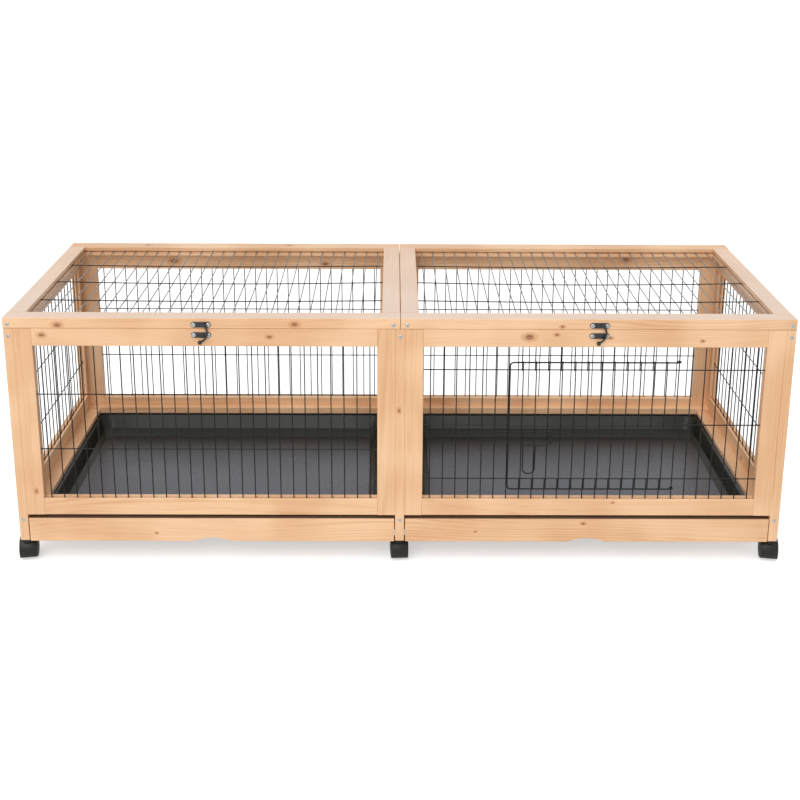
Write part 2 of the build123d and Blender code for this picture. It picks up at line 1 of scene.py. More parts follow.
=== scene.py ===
# %% [markdown]
# # A long rodent cage of pine and black wire
#
# The CAD frame already holds every board, wire, tray and caster in its place. This lesson
# dresses it: the boards get a pine finish, and the pieces that need round or pressed forms
# are made again as smooth surfaces that stand for the plain CAD ones.
#
# We start by loading the frame.

# %% Load the frame
import math

import bpy
import numpy as np
from mathutils import Matrix, Vector


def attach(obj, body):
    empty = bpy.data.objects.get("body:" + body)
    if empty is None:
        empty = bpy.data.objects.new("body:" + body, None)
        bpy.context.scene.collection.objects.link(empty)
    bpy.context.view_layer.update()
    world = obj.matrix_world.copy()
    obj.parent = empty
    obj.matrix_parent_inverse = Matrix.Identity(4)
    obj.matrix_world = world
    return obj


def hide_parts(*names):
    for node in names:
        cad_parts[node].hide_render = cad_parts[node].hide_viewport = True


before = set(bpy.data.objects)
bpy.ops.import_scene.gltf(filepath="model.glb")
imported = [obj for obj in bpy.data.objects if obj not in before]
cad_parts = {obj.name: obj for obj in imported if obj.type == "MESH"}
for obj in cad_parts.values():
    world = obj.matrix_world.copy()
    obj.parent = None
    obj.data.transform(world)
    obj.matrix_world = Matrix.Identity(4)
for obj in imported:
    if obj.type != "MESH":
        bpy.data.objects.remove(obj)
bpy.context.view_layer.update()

scene = bpy.context.scene

# %% [markdown]
# The cage's own measures are millimetres, as a maker writes them: x along the cage, d the
# depth behind the front face of the boards, and z above the floor. One function turns them
# into the metres of the frame. Metres are used only in the finishes and the studio.

# %% From millimetres to the frame
MM = 0.001
FRONT = -261.2  # Y of the front face of the boards
CAGE_DEPTH = 515.0
RAIL = 35.0
SIDES = {"left": -1, "right": 1}


def metres(points):
    """Points (x, d, z) in millimetres to metres: y is the front face plus the depth d."""
    moved = np.array(points, float)
    moved[..., 1] += FRONT
    return moved * MM


print("front corner of the boards", metres([-750, 0, 50]))

# %% [markdown]
# Every new piece is a skin over closed loops. A loop is one cross-section, the loops follow
# each other along the piece, quads join each to the next, and a flat face closes each end.
# Blender could make such skins with its curve and screw tools too, but a grid of numbers is
# exact, quick, and never leaves a seam open. A closed skin has a signed volume, and its sign
# tells whether the faces point outwards, so that is tested here once for all shapes.

# %% Skins over loops
def skin(loops, ring=False):
    """Quads between loops (levels, around, 3); the ends get flat faces unless the loops are a ring.

    The volume is a sixth of the sum, over all triangles, of a corner's vector times the cross
    product of the two sides that meet there. Where it is negative, all faces are turned.
    """
    loops = np.asarray(loops, float)
    levels, around = loops.shape[:2]
    level, step = np.meshgrid(
        np.arange(levels if ring else levels - 1), np.arange(around), indexing="ij"
    )
    above, beside = (level + 1) % levels, (step + 1) % around
    corners = (level * around + step, above * around + step,
               above * around + beside, level * around + beside)
    quads = np.stack(corners, -1).reshape(-1, 4)
    vertices = loops.reshape(-1, 3)
    ends = [] if ring else [np.arange(around), np.arange(around)[::-1] + (levels - 1) * around]
    fans = [np.stack([np.full(around - 2, end[0]), end[1:-1], end[2:]], -1) for end in ends]
    triangles = np.concatenate([quads[:, [0, 1, 2]], quads[:, [0, 2, 3]], *fans])
    a, b, c = vertices[triangles.T]
    faces = quads.tolist() + [end.tolist() for end in ends]
    if np.einsum("ij,ij->", a - vertices.mean(0), np.cross(b - a, c - a)) < 0:
        faces = [face[::-1] for face in faces]
    return vertices, faces


def joined(shapes):
    """Several skins as one mesh: vertices in a row, face numbers moved up by those before."""
    vertices, faces, count = [], [], 0
    for points, own in shapes:
        vertices.append(points)
        faces += [[i + count for i in face] for face in own]
        count += len(points)
    return np.concatenate(vertices), faces


test = skin(np.array([[[0, 0, z], [1, 0, z], [1, 1, z], [0, 1, z]] for z in (0, 1)]))
print("a cube has", len(test[0]), "corners and", len(test[1]), "faces")

# %% [markdown]
# A piece is put into the scene in one step: its mesh, its material, the CAD body that it
# moves with and the nodes that it stands for. Smooth shading with sharp edges by angle keeps
# rounded parts round and flat ends crisp.

# %% From a skin to a piece
def show(name, data):
    """An object for a mesh, a lamp or a camera, linked into the scene."""
    thing = bpy.data.objects.new(name, data)
    scene.collection.objects.link(thing)
    return thing


def piece(name, shapes, material, body, nodes=(), crease=35.0):
    """Make one object from skins in millimetres, dress it and tie it to its CAD body."""
    vertices, faces = joined(shapes)
    mesh = bpy.data.meshes.new(name)
    mesh.from_pydata(metres(vertices).tolist(), [], faces)
    mesh.polygons.foreach_set("use_smooth", [True] * len(mesh.polygons))
    mesh.set_sharp_from_angle(angle=math.radians(crease))
    mesh.materials.append(material)
    thing = show(name, mesh)
    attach(thing, body)
    if nodes:
        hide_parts(*nodes)
    print(name, "has", len(mesh.polygons), "faces")


# %% [markdown]
# ## Finishes
# Pine shows growth rings as pale and darker lines that run along the board, finer streaks
# between them, and knots where a branch grew. A group works the pattern out once, for a
# board along X; a Mapping node turns it for boards along Y and Z. The rings are distances
# from a far line along the grain, so they cross both faces of a board as real rings do, and
# stretched noise makes them wander. A knot simply adds a bump to that distance: the rings
# then close around it by themselves, as they do round a branch.

# %% Small helpers for node trees
def add(tree, kind, inputs=None, **settings):
    """A node with its settings, each input filled with a value or joined to a socket."""
    node = tree.nodes.new(kind)
    for key, value in settings.items():
        setattr(node, key, value)
    for key, value in (inputs or {}).items():
        if isinstance(value, bpy.types.NodeSocket):
            tree.links.new(value, node.inputs[key])
        else:
            node.inputs[key].default_value = value
    return node


def maths(tree, operation, a, b=0.0, clamp=False):
    """A Math node of two values; returns its output."""
    return add(tree, "ShaderNodeMath", {0: a, 1: b}, operation=operation, use_clamp=clamp).outputs[0]


def vectors(tree, operation, a, b):
    """A Vector Math node of two vectors; returns its vector, or its value for a distance."""
    node = add(tree, "ShaderNodeVectorMath", {0: a, 1: b}, operation=operation)
    return node.outputs["Value" if operation == "DISTANCE" else "Vector"]


def along(tree, vector, axis):
    """One coordinate of a vector."""
    return add(tree, "ShaderNodeSeparateXYZ", {0: vector}).outputs[axis]


def noise(tree, vector, scale, detail, roughness=0.5):
    """The outputs of a Noise Texture with its own scale along each axis."""
    stretched = add(tree, "ShaderNodeMapping", {"Vector": vector, "Scale": scale}).outputs[0]
    inputs = {"Vector": stretched, "Scale": 1.0, "Detail": detail, "Roughness": roughness}
    return add(tree, "ShaderNodeTexNoise", inputs).outputs


def ramp(tree, value, low, high, start=0.0, end=1.0):
    """A Map Range that goes smoothly from start to end as the value goes from low to high."""
    inputs = {"Value": value, "From Min": low, "From Max": high, "To Min": start, "To Max": end}
    return add(tree, "ShaderNodeMapRange", inputs, interpolation_type="SMOOTHSTEP").outputs["Result"]


def blend(tree, factor, a, b):
    """A colour between a and b."""
    return add(tree, "ShaderNodeMix", {"Factor": factor, 6: a, 7: b}, data_type="RGBA").outputs[2]


def new_group(name, inputs, outputs):
    """A shader node group with named sockets; returns the tree and its input and output nodes."""
    tree = bpy.data.node_groups.new(name, "ShaderNodeTree")
    for way, sockets in (("INPUT", inputs), ("OUTPUT", outputs)):
        for label, kind in sockets.items():
            tree.interface.new_socket(label, in_out=way, socket_type="NodeSocket" + kind)
    return tree, tree.nodes.new("NodeGroupInput"), tree.nodes.new("NodeGroupOutput")


def material(name, constants):
    """A material with its tree, its shader with some constants set, and its coordinates."""
    made = bpy.data.materials.new(name)
    made.use_nodes = True
    tree = made.node_tree
    tree.nodes.clear()
    shader = add(tree, "ShaderNodeBsdfPrincipled", constants)
    add(tree, "ShaderNodeOutputMaterial", {"Surface": shader.outputs[0]})
    return made, tree, shader, add(tree, "ShaderNodeTexCoord")


print("node helpers are ready")

# %% [markdown]
# The knot group measures the distance to a knot's middle, a little shorter along the grain.
# It gives a wide bump for the rings and a small core for the dark wood.

# %% The knot group
KNOT_STRETCH = (0.62, 1.0, 1.0)  # less along the grain, so knots are longer that way
KNOT_ZONES = {"Bump": (0.3, 4.0), "Core": (0.6, 1.15), "Halo": (0.9, 2.6)}  # fades, in radii

knots, knot_in, knot_out = new_group(
    "knot",
    {"Vector": "Vector", "Centre": "Vector", "Radius": "Float"},
    dict.fromkeys(KNOT_ZONES, "Float"),
)
away = vectors(knots, "SUBTRACT", knot_in.outputs["Vector"], knot_in.outputs["Centre"])
away = vectors(knots, "MULTIPLY", away, KNOT_STRETCH)
reach = vectors(knots, "DISTANCE", away, (0.0, 0.0, 0.0))
span = maths(knots, "DIVIDE", reach, knot_in.outputs["Radius"])
for zone, (full, gone) in KNOT_ZONES.items():
    knots.links.new(ramp(knots, span, full, gone, 1.0, 0.0), knot_out.inputs[zone])
print("knot group:", len(knots.nodes), "nodes")

# %% [markdown]
# The grain could be a picture of wood laid on each face, but its lines would break at every
# edge. A pattern in space runs through the board as wood does. Noise bends the place a
# little, the distance from the pith gives the rings, and finer noises give the fibres, the
# streaks in which the rings are stronger, and a slow change of tone along the board.

# %% The grain group
RING_SCALE = 215.0  # rings in a metre
PITH = (0.0, -0.09, 0.16)  # the middle of the tree, outside the board
ACROSS = (0.0, 1.0, 1.0)
WANDER = (0.07, 0.07, 0.07)  # metres
KNOT_LIFT = 0.022  # metres that a knot adds to the distance from the pith
HALO_TONE = (0.5, 0.2, 0.07, 1.0)
CORE_TONE = (0.24, 0.095, 0.036, 1.0)

grain, grain_in, grain_out = new_group(
    "pine grain",
    {"Vector": "Vector", **dict.fromkeys(KNOT_ZONES, "Float"), "Light Wood": "Color",
     "Dark Wood": "Color"},
    {"Color": "Color", "Height": "Float", "Roughness": "Float"},
)
spot = grain_in.outputs["Vector"]
waver = noise(grain, spot, (1.08, 9.0, 9.0), 2.0, 0.45)["Color"]
drift = vectors(grain, "SUBTRACT", waver, (0.5, 0.5, 0.5))
bent = vectors(grain, "ADD", spot, vectors(grain, "MULTIPLY", drift, WANDER))
from_pith = vectors(grain, "DISTANCE", vectors(grain, "MULTIPLY", bent, ACROSS), PITH)
lift = maths(grain, "MULTIPLY", grain_in.outputs["Bump"], KNOT_LIFT)
ring_place = maths(grain, "ADD", from_pith, lift)
wave = maths(grain, "SINE", maths(grain, "MULTIPLY", ring_place, 2 * math.pi * RING_SCALE))
late_wood = ramp(grain, wave, -0.1, 1.0)

fibres = noise(grain, bent, (5.0, 240.0, 240.0), 3.0, 0.6)["Fac"]
streaks = noise(grain, bent, (1.4, 34.0, 34.0), 2.0)["Fac"]
tone = noise(grain, spot, (7.3, 7.3, 7.3), 1.0)["Fac"]
contrast = ramp(grain, ramp(grain, streaks, 0.38, 0.72), 0.0, 1.0, 0.06, 0.42)
darkness = maths(grain, "MULTIPLY", late_wood, contrast)
for part, low, high, most in ((fibres, 0.35, 0.75, 0.26), (tone, 0.32, 0.68, 0.55)):
    more = ramp(grain, part, low, high, 0.0, most)
    darkness = maths(grain, "ADD", darkness, more, clamp=True)
wood = blend(grain, darkness, grain_in.outputs["Light Wood"], grain_in.outputs["Dark Wood"])
halo = maths(grain, "MULTIPLY", grain_in.outputs["Halo"], 0.55)
core_rings = ramp(grain, wave, -1.0, 1.0, 0.55, 0.95)
core = maths(grain, "MULTIPLY", grain_in.outputs["Core"], core_rings)
for share, shade in ((halo, HALO_TONE), (core, CORE_TONE)):
    wood = blend(grain, share, wood, shade)

height = maths(grain, "ADD", maths(grain, "MULTIPLY", late_wood, 0.5), fibres)
gloss = ramp(grain, fibres, 0.3, 0.8, 0.36, 0.52)
for label, value in {"Color": wood, "Height": height, "Roughness": gloss}.items():
    grain.links.new(value, grain_out.inputs[label])
print("grain group:", len(grain.nodes), "nodes")

# %% [markdown]
# Each board direction has its own material. The lids have paler ones: their faces that look
# up are painted paler and a little pink, as painted light where the light falls on them, less
# so towards the rear, and the drawer fronts are painted nearly black on top, as painted shade
# in the slit under the rails. Which face looks up is read from the Normal, which belongs to
# the surface and not to the camera.
#
# The knots have stated places, so that the same boards carry them every time.

# %% The pine materials
TURN_TO_X = {"x": (0.0, 0.0, 0.0), "y": (0.0, 0.0, -math.pi / 2), "z": (0.0, math.pi / 2, 0.0)}
LIGHT_WOOD = (0.88, 0.575, 0.345, 1.0)
DARK_WOOD = (0.68, 0.375, 0.19, 1.0)
# Painted light: lid faces that look up turn this paler pink, where light falls from above.
PAINTED_LIGHT_TOP = (0.78, 0.63, 0.53, 1.0)
# Painted shade: the drawer fronts' tops, in the slit under the rails, are made nearly black.
SHADED_TOP = (0.09, 0.045, 0.02, 1.0)
LOOKS_UP = (0.6, 0.95)  # the Normal's Z between which the top colour fades in
CAGE_Y = (-0.2, 0.27)  # metres between which the rear's share takes over
KNOTS = {  # x, d, z and radius
    "pine_along_x": [
        (-678, 0, 481, 3.6), (-248, 0, 478, 3.0), (244, 0, 479, 5.4), (296, 0, 484, 2.4),
        (398, 0, 478, 2.4), (573, 0, 472, 2.2), (419, 0, 134, 1.8), (-560, 515, 480, 5.0),
        (-170, 497, 472, 4.0), (240, 515, 70, 4.0), (520, 497, 484, 5.0), (-330, 515, 122, 3.0),
        (610, 515, 478, 3.6), (-517, 497, 478, 6.0), (-640, 497, 88, 3.0)],
    "pine_along_y": [
        (-750, 180, 470, 4.0), (750, 330, 110, 5.0), (732, 210, 128, 3.0), (-732, 300, 84, 4.0)],
    "pine_along_z": [
        (-711, 0, 156, 2.6), (-2, 0, 328, 2.6), (-750, 20, 300, 3.0), (715, 515, 240, 4.0),
        (-20, 515, 410, 3.6), (750, 500, 190, 3.0)],
    "pine_drawer_x": [(363, 0, 88, 2.4), (-480, 0, 66, 1.6), (150, 0, 70, 1.4)],
    "pine_lid_along_x": [
        (-647, 0, 501, 4.2), (-200, 0, 503, 4.0), (306, 0, 500, 2.4), (-575, 498, 515, 4.0),
        (-253, 500, 515, 4.0), (180, 515, 505, 4.0)],
    "pine_lid_along_y": [(-764, 330, 497, 3.0), (764, 150, 499, 2.6)],
}


def pine(name, axis, top=None, share=0.0, rear_share=1.0):
    """Pine with its rings along an axis and its own knots.

    Faces that look up take a share of the top colour, painted light on the lids and painted
    shade on the drawer fronts, which falls to rear_share of it at the rear.
    """
    made, tree, shader, place = material(name, {"Specular IOR Level": 0.35})
    turn = TURN_TO_X[axis]
    turned = add(tree, "ShaderNodeMapping", {"Vector": place.outputs["Object"], "Rotation": turn})
    spin = Matrix.Rotation(turn[2], 3, "Z") @ Matrix.Rotation(turn[1], 3, "Y")
    totals = {}
    for x, d, z, radius in KNOTS[name]:
        centre = spin @ Vector(metres([x, d, z]))
        inputs = {"Vector": turned.outputs[0], "Centre": centre, "Radius": radius * MM}
        knot = add(tree, "ShaderNodeGroup", inputs, node_tree=knots)
        for zone in KNOT_ZONES:
            out = knot.outputs[zone]
            totals[zone] = maths(tree, "MAXIMUM", totals[zone], out) if zone in totals else out
    inputs = {"Vector": turned.outputs[0], **totals, "Light Wood": LIGHT_WOOD, "Dark Wood": DARK_WOOD}
    grown = add(tree, "ShaderNodeGroup", inputs, node_tree=grain)
    colour = grown.outputs["Color"]
    # Painted light on the lid tops and painted shade on the drawer fronts' tops, by the Normal and by
    # depth.
    if top:
        faces_up = ramp(tree, along(tree, place.outputs["Normal"], "Z"), *LOOKS_UP, 0.0, share)
        fade = ramp(tree, along(tree, place.outputs["Object"], "Y"), *CAGE_Y, 1.0, rear_share)
        colour = blend(tree, maths(tree, "MULTIPLY", faces_up, fade), colour, top)
    tree.links.new(colour, shader.inputs["Base Color"])
    tree.links.new(grown.outputs["Roughness"], shader.inputs["Roughness"])
    inputs = {"Height": grown.outputs["Height"], "Strength": 0.12, "Distance": 0.0006}
    tree.links.new(add(tree, "ShaderNodeBump", inputs).outputs[0], shader.inputs["Normal"])
    return made


# Top colour, share, and share at the rear: painted light on the lids, painted shade on the drawer
# fronts.
TOPS = {"pine_lid_along_x": (PAINTED_LIGHT_TOP, 0.78, 0.15), "pine_lid_along_y": (PAINTED_LIGHT_TOP, 0.78, 0.6),
        "pine_drawer_x": (SHADED_TOP, 0.9)}
pines = {name: pine(name, name[-1], *TOPS.get(name, ())) for name in KNOTS}
print(len(pines), "pine materials")

# %% [markdown]
# The other finishes are simple: a coat whose clouds change the gloss and whose small specks
# change the colour, so that a highlight breaks up a little as on a real surface. They share
# one group that gives a cloud and a speck mask. A tray's flat floor is painted a lighter,
# bluish grey than its walls as painted light and sheen from above, its walls are painted
# near black as painted shade, and the floor darkens towards the rear, also painted shade.

# %% The coat group and the dark finishes
coat_tree, coat_in, coat_out = new_group(
    "coat wear",
    {"Vector": "Vector", "Cloud Scale": "Float", "Speck Scale": "Float"},
    {"Cloud": "Float", "Speck": "Float"},
)
for mask, detail, low, high in (("Cloud", 3.0, 0.3, 0.7), ("Speck", 1.0, 0.62, 0.78)):
    pattern = noise(coat_tree, coat_in.outputs["Vector"], coat_in.outputs[mask + " Scale"], detail)
    coat_tree.links.new(ramp(coat_tree, pattern["Fac"], low, high), coat_out.inputs[mask])

# Painted light and shade on the trays: lighter flat floors, darker walls, darker towards the rear.
FLAT = (0.9, 1.0)  # the Normal's Z between which a wall becomes a floor
PAINTED_SHADE_Y = (-0.05, 0.2)  # metres between which a tray's floor darkens


def coat(name, colour, speck, gloss, clouds_at=20.0, specks_at=900.0, metal=0.0, relief=0.0,
         level=0.5, painted_shade_walls=None, rear=None):
    """Specks on a base colour, with roughness from gloss[0] to gloss[1] by the clouds.

    Where a wall colour is given, it is painted shade on every face but the flat floors, which
    keep the base and turn to the rear colour, painted shade too, towards the rear.
    """
    made, tree, shader, place = material(name, {"Metallic": metal, "Specular IOR Level": level})
    inputs = {"Vector": place.outputs["Object"], "Cloud Scale": clouds_at, "Speck Scale": specks_at}
    wear = add(tree, "ShaderNodeGroup", inputs, node_tree=coat_tree)
    shown = blend(tree, wear.outputs["Speck"], (*colour, 1.0), (*speck, 1.0))
    # Painted shade on the walls and towards the rear of the floor.
    if painted_shade_walls:
        dim = ramp(tree, along(tree, place.outputs["Object"], "Y"), *PAINTED_SHADE_Y)
        shown = blend(tree, dim, shown, (*rear, 1.0))
        flat = ramp(tree, along(tree, place.outputs["Normal"], "Z"), *FLAT)
        shown = blend(tree, flat, (*painted_shade_walls, 1.0), shown)
    tree.links.new(shown, shader.inputs["Base Color"])
    tree.links.new(ramp(tree, wear.outputs["Cloud"], 0.0, 1.0, *gloss), shader.inputs["Roughness"])
    if relief:
        inputs = {"Height": wear.outputs["Speck"], "Strength": relief, "Distance": 0.0003}
        tree.links.new(add(tree, "ShaderNodeBump", inputs).outputs[0], shader.inputs["Normal"])
    return made


wire_coat = coat("wire_coat", (0.005,) * 3, (0.01,) * 3, (0.3, 0.42), level=0.22)
# Painted sheen: the lids' cross wires are the same black wire, and this grey stands in for the light
# they catch.
painted_sheen_wire = coat("painted_sheen_wire", (0.2, 0.195, 0.185), (0.26, 0.255, 0.245), (0.3, 0.42), level=0.4)
# Painted light and sheen: the floor's lighter bluish grey over the sheet's dark grey; painted shade:
# the near-black wall colour and the rear colour. The specks are the sheet's own.
tray_sheet = coat("tray_sheet", (0.115, 0.123, 0.145), (0.21, 0.222, 0.25), (0.24, 0.34),
                  9.0, 420.0, relief=0.25, level=0.22,
                  painted_shade_walls=(0.012, 0.0135, 0.01), rear=(0.012, 0.013, 0.011))
caster_black = coat("caster_black", (0.008, 0.0085, 0.006), (0.012, 0.013, 0.01), (0.38, 0.5),
                    level=0.28)
wheel_black = coat("wheel_black", (0.01, 0.01, 0.009), (0.014, 0.014, 0.012), (0.42, 0.54),
                   level=0.35)
latch_black = coat("latch_black", (0.008, 0.008, 0.009), (0.014, 0.014, 0.015), (0.14, 0.24))
hinge_black = coat("hinge_black", (0.01, 0.01, 0.011), (0.016, 0.016, 0.017), (0.2, 0.34))
zinc = coat("zinc", (0.42, 0.43, 0.41), (0.3, 0.3, 0.3), (0.3, 0.42), metal=1.0)
print("dark finishes and zinc are ready")

# %% [markdown]
# The boards keep their CAD meshes, which already have the eased edges and grooves of the real
# ones. Only their material slot is filled: each node is named by what it holds, and that
# tells which way its grain runs.

# %% Dress the boards
GRAIN = {"posts": "z", "stiles": "z", "rails": "x", "boards": "x", "strips": "x", "bearers": "x"}
PLAIN = {"screws": zinc, "tray": tray_sheet, "fork": caster_black, "wheels": wheel_black}
for name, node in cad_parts.items():
    kind = name.split("_")[-1]
    if name.startswith("lid") and kind == "rails":
        finish = pines["pine_lid_along_y" if "side" in name else "pine_lid_along_x"]
    elif name.startswith("drawer") and kind == "front":
        finish = pines["pine_drawer_x"]
    elif kind in GRAIN:
        runs_back = name.startswith("frame") and kind == "rails" or name == "tray_side_strips"
        finish = pines["pine_along_" + ("y" if runs_back else GRAIN[kind])]
    elif name.startswith("hinge"):
        finish = hinge_black
    elif name.startswith("latch"):
        finish = latch_black
    else:
        finish = PLAIN.get(kind, wire_coat)
    node.data.materials.clear()
    node.data.materials.append(finish)
print(len(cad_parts), "nodes dressed")

# %% [markdown]
# ## Grilles
# The grilles are round wires in two crossing layers, welded where they touch. A wire is a
# path with a small circle carried along it. All the wires of one layer have equally many
# points, so one function makes them all at once. Eight sides are enough for a 2.2 mm wire.

# %% Round wires along paths
WIRE = 2.2
PITCH = 25.0
FRONT_PLANE = (0, 1, 0)  # normals of the planes that wires lie in
SIDE_PLANE = (1, 0, 0)


def wires(paths, diameter, normal, sides=8, closed=False):
    """Skins of round wires: paths (count, stops, 3) in mm, in or across a plane with this normal.

    The side way is the tangent crossed with the normal, and the over way is side crossed with
    the tangent. A ring goes round the path by the radius times the cosine of the turn along
    the side way, and times its sine along the over way.
    """
    paths = np.asarray(paths, float)
    if closed:
        tangent = np.roll(paths, -1, axis=1) - np.roll(paths, 1, axis=1)
    else:
        tangent = np.gradient(paths, axis=1)
    tangent /= np.linalg.norm(tangent, axis=-1, keepdims=True)
    side = np.cross(tangent, np.broadcast_to(normal, tangent.shape))
    side /= np.linalg.norm(side, axis=-1, keepdims=True)
    over = np.cross(side, tangent)
    turn = (np.arange(sides) + 0.5) * 2 * math.pi / sides
    circle = np.cos(turn)[:, None] * side[..., None, :] + np.sin(turn)[:, None] * over[..., None, :]
    rings = paths[..., None, :] + diameter / 2 * circle
    return [skin(wire, ring=closed) for wire in rings]


def straight(runs, stops=2):
    """Paths (count, stops, 3) along runs, which are pairs of a start and an end."""
    starts, ends = (np.array(runs, float)[:, None, end] for end in (0, 1))
    return starts + (ends - starts) * np.linspace(0, 1, stops)[:, None]


def spread(count, middle):
    """Wire places at the pitch, about a middle."""
    return middle + PITCH * (np.arange(count) - (count - 1) / 2)


print("one wire:", len(wires(straight([((0, 0, 0), (0, 0, 9))]), WIRE, FRONT_PLANE)[0][1]), "faces")

# %% [markdown]
# The front and rear grilles sit in grooves of their panels, 6 mm deep on every side. The
# right front grille is cut out for the doorway: the wires that would cross it stop at the
# wires round it.

# %% Front and rear grilles
GROOVE = 6.0
LAYER = 2.0  # from the middle of the uprights to the middle of the rows
PANEL_X = (44.0 - GROOVE, 697.0 + GROOVE)
PANEL_Z = (141.0 - GROOVE, 459.0 + GROOVE)
PANEL_MIDDLE = 370.5
FRONT_D = 5.5  # between the two layers
REAR_D = CAGE_DEPTH - FRONT_D
TWO_ROWS = (244.0, 358.0)
DOORWAY = (208.0, 533.0, 182.5, 410.5)


def cut(low, high, gap):
    """The runs of a wire that a gap interrupts; the cut ends lap the wires at the gap."""
    return [(low, gap[0] + WIRE / 2), (gap[1] - WIRE / 2, high)] if gap else [(low, high)]


def panel_grille(side, upright_d, row_d, rows, doorway=None):
    """Uprights in one layer and rows in the other, cut round the doorway."""
    uprights, lines = [], []
    for x in spread(26, side * PANEL_MIDDLE):
        crossed = doorway and doorway[0] < x < doorway[1]
        spans = cut(*PANEL_Z, doorway[2:] if crossed else None)
        uprights += [((x, upright_d, low), (x, upright_d, high)) for low, high in spans]
    for z in rows:
        crossed = doorway and doorway[2] < z < doorway[3]
        spans = cut(*PANEL_X, doorway[:2] if crossed else None)
        lines += [((side * low, row_d, z), (side * high, row_d, z)) for low, high in spans]
    return wires(straight(uprights + lines), WIRE, FRONT_PLANE)


FRONT_ROWS = {"left": (TWO_ROWS,), "right": ((182.5, 296.5, 410.5), DOORWAY)}
for row, d, step in (("front", FRONT_D, -1), ("rear", REAR_D, 1)):
    for name, side in SIDES.items():
        rows = FRONT_ROWS[name] if row == "front" else (TWO_ROWS,)
        shapes = panel_grille(side, d + step * LAYER / 2, d - step * LAYER / 2, *rows)
        piece(f"{row}_{name}_grille", shapes, wire_coat, "root", [f"{row}_{name}_mesh"])

# %% [markdown]
# The three cross frames carry the same kind of grille, turned to face the ends of the cage.

# %% Cross-frame grilles
SIDE_D = (RAIL - GROOVE, CAGE_DEPTH - RAIL + GROOVE)
SIDE_Z = (150.0 - GROOVE, 459.0 + GROOVE)
SIDE_ROWS = (235.0, 349.0)
CROSS_FRAMES = {"left": (-739.0, -1), "middle": (0.0, 1), "right": (739.0, 1)}
for name, (x, out) in CROSS_FRAMES.items():
    upright_x, row_x = x + out * LAYER / 2, x - out * LAYER / 2
    places = spread(17, CAGE_DEPTH / 2)
    runs = [((upright_x, d, SIDE_Z[0]), (upright_x, d, SIDE_Z[1])) for d in places]
    runs += [((row_x, SIDE_D[0], z), (row_x, SIDE_D[1], z)) for z in SIDE_ROWS]
    shapes = wires(straight(runs), WIRE, SIDE_PLANE)
    piece(f"cross_{name}_grille", shapes, wire_coat, "root", [f"frame_{name}_mesh"])

# %% [markdown]
# A lid's grille is held only at its edges, and its own weight makes it sag a few millimetres.
# The sag is a product of two half sine waves, one along the lid and one across it, so it is
# nothing at the frame and greatest in the middle. In the light the wires across the lid shine
# and the long ones stay dark, so they are two pieces: the cross wires take a grey copy of the
# black wire finish, whose grey is painted sheen, and the long ones the black finish.

# %% Lid grilles
SAG = 4.0
LID_Z = 504.8
LID_X = (35.5 - GROOVE, 715.0 + GROOVE)
LID_MIDDLE = 375.25
LID_ROWS = (134.0, 252.0, 370.0)


def sagged(paths, side):
    """Lower each point by the sag times two sines of half a turn: along the lid and across it."""
    u = (side * paths[..., 0] - LID_X[0]) / (LID_X[1] - LID_X[0])
    v = (paths[..., 1] - SIDE_D[0]) / (SIDE_D[1] - SIDE_D[0])
    paths[..., 2] -= SAG * np.sin(math.pi * u) * np.sin(math.pi * v)
    return paths


for name, side in SIDES.items():
    low, high = LID_Z - LAYER / 2, LID_Z + LAYER / 2
    runs = [((x, SIDE_D[0], low), (x, SIDE_D[1], low)) for x in spread(27, side * LID_MIDDLE)]
    cross = wires(sagged(straight(runs, 12), side), WIRE, SIDE_PLANE)
    piece(f"lid_{name}_cross_wires", cross, painted_sheen_wire, f"lid_{name}", [f"lid_{name}_mesh"])
    runs = [((side * LID_X[0], d, high), (side * LID_X[1], d, high)) for d in LID_ROWS]
    long_wires = wires(sagged(straight(runs, 28), side), WIRE, FRONT_PLANE)
    piece(f"lid_{name}_long_wires", long_wires, wire_coat, f"lid_{name}")

# %% [markdown]
# ## The wire door and its bolt
# The door is a thick wire bent to a C, with thinner uprights and one row welded behind it. It
# turns on two eyes round an upright of the front grille. A bent wire is a path of straight
# runs with an arc at each corner, which one helper works out from the corners.

# %% Bent wires
def bent_path(corners, radius, steps=6):
    """Round the corners (x, z) of a path: each arc turns evenly between its two tangent points."""
    corners = [np.array(c, float) for c in corners]
    stops = [corners[0]]
    for before, corner, after in zip(corners, corners[1:], corners[2:]):
        a = (before - corner) / np.linalg.norm(before - corner)
        b = (after - corner) / np.linalg.norm(after - corner)
        half = math.acos(np.clip(a @ b, -1, 1)) / 2
        middle = corner + (a + b) / np.linalg.norm(a + b) * radius / math.sin(half)
        start, end = (corner + leg * radius / math.tan(half) - middle for leg in (a, b))
        sweep = math.acos(np.clip(start @ end / radius**2, -1, 1))
        for share in np.linspace(0, 1, steps + 1):
            mix = math.sin((1 - share) * sweep) * start + math.sin(share * sweep) * end
            stops.append(middle + mix / math.sin(sweep))
    stops.append(corners[-1])
    return np.array(stops)


def in_plane(path, d):
    """A path (x, z) as points (x, d, z), as the only wire of its layer."""
    return np.stack([path[:, 0], np.full(len(path), d), path[:, 1]], -1)[None]


def round_ring(x, d, z, radius, thick, tall, steps=24):
    """A ring about a vertical line: an oval section carried round the circle."""
    around = np.linspace(0, 2 * math.pi, steps, endpoint=False)[:, None]
    section = np.linspace(0, 2 * math.pi, 10, endpoint=False)[None]
    reach = radius + thick / 2 * np.cos(section)
    loops = np.stack([x + reach * np.cos(around), d + reach * np.sin(around),
                      z + tall / 2 * np.sin(section) + 0 * around], -1)
    return skin(loops, ring=True)


print("a corner has", len(bent_path([(0, 0), (9, 0), (9, 9)], 2)), "stops")

# %% [markdown]
# The door's eyes are rings round the hinge wire. Two straps, closed loops of thinner wire, go
# round the bolt's rods and hold them against the door.

